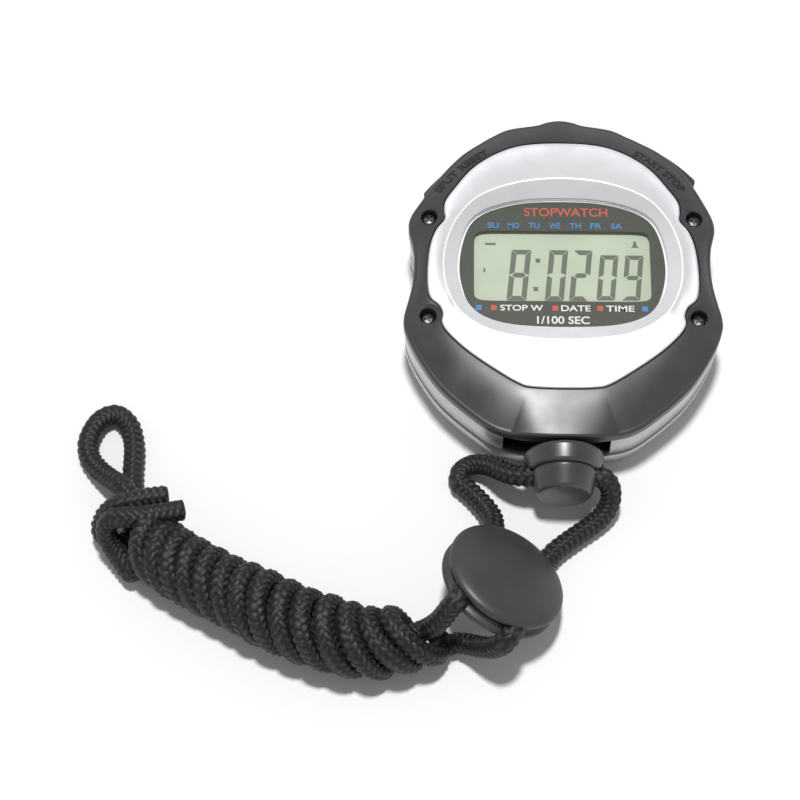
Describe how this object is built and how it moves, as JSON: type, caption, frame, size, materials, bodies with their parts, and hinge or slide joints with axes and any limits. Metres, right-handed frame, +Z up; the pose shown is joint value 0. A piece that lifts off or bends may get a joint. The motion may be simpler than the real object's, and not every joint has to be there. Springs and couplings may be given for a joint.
{
  "type": "digital stopwatch",
  "caption": "Handheld digital stopwatch lying face up, with rim buttons, a dummy crown, and a braided neck cord wound into a hank behind its oval slider.",
  "frame": {"origin": "centre of the watch's footprint, measured without its cord and slider, on the surface it lies on", "axes": "+Z up out of the display, +Y along the case towards the mode button at 12 o'clock, away from the crown, +X to the display's right"},
  "size_m": [0.1287, 0.1207, 0.0191],
  "materials": {
    "silver_case": "satin silver paint on plastic",
    "silver_plate": "bright satin silver paint on plastic",
    "black_bezel": "satin moulded black",
    "crown_black": "satin moulded black",
    "gasket_rubber": "matt",
    "lens": "polished acrylic with a printed dark mask",
    "lcd_glass": "pale grey-green display glass",
    "reflector": "satin foil",
    "white_plastic": "moulded",
    "zebra": "striped conductive elastomer",
    "board": "solder mask",
    "epoxy": "black potting resin",
    "steel": "bright",
    "dark_steel": "black nickel plate",
    "brass": "bright",
    "piezo": "fired ceramic with a thin electrode",
    "button": "moulded black",
    "slider": "satin moulded black",
    "cord": "round braid of black polyester"
  },
  "bodies": {
    "case": {"back_cover": "silver_case", "case_gasket": "gasket_rubber", "mid_case": "silver_case", "bezel": "black_bezel", "face_plate": "silver_plate", "lens_window": "lens", "lcd_front_glass": "lcd_glass", "lcd_rear_glass": "lcd_glass", "lcd_reflector": "reflector", "lcd_holder": "white_plastic", "zebra_strip_upper": "zebra", "zebra_strip_lower": "zebra", "circuit_board": "board", "chip_blob": "epoxy", "quartz_crystal": "steel", "board_screw_1": "steel", "board_screw_2": "steel", "board_screw_3": "steel", "buzzer_plate": "brass", "buzzer_ceramic": "piezo", "buzzer_spring": "steel", "coin_cell": "steel", "battery_contact_positive": "brass", "battery_contact_negative": "brass", "case_screw_1": "dark_steel", "case_screw_2": "dark_steel", "case_screw_3": "dark_steel", "case_screw_4": "dark_steel", "start_stop_contact_spring": "steel", "split_reset_contact_spring": "steel", "mode_contact_spring": "steel", "crown": "crown_black", "crown_mount": "crown_black", "cord_left_run": "cord", "cord_right_run": "cord", "cord_hank": "cord", "cord_end_loop": "cord"},
    "start_stop": {"start_stop_button": "button"},
    "split_reset": {"split_reset_button": "button"},
    "mode": {"mode_button": "button"},
    "cord_slider": {"slider_upper_shell": "slider", "slider_lower_shell": "slider"}
  },
  "joints": [
    {"name": "start_stop_press", "type": "slide", "parent": "case", "child": "start_stop", "axis": [-0.6561, -0.7547, 0], "range_m": [0, 0.0012], "stiffness_N_per_m": 1500, "deforming": ["start_stop_contact_spring"]},
    {"name": "split_reset_press", "type": "slide", "parent": "case", "child": "split_reset", "axis": [0.7071, -0.7071, 0], "range_m": [0, 0.001], "stiffness_N_per_m": 1500, "deforming": ["split_reset_contact_spring"]},
    {"name": "mode_press", "type": "slide", "parent": "case", "child": "mode", "axis": [0, -1, 0], "range_m": [0, 0.001], "stiffness_N_per_m": 1500, "deforming": ["mode_contact_spring"]},
    {"name": "cord_slider_slide", "type": "slide", "parent": "case", "child": "cord_slider", "axis": [-0.3101, -0.8151, 0.4894], "range_m": [-0.002, 0.002], "deforming": ["cord_left_run", "cord_right_run"]}
  ]
}
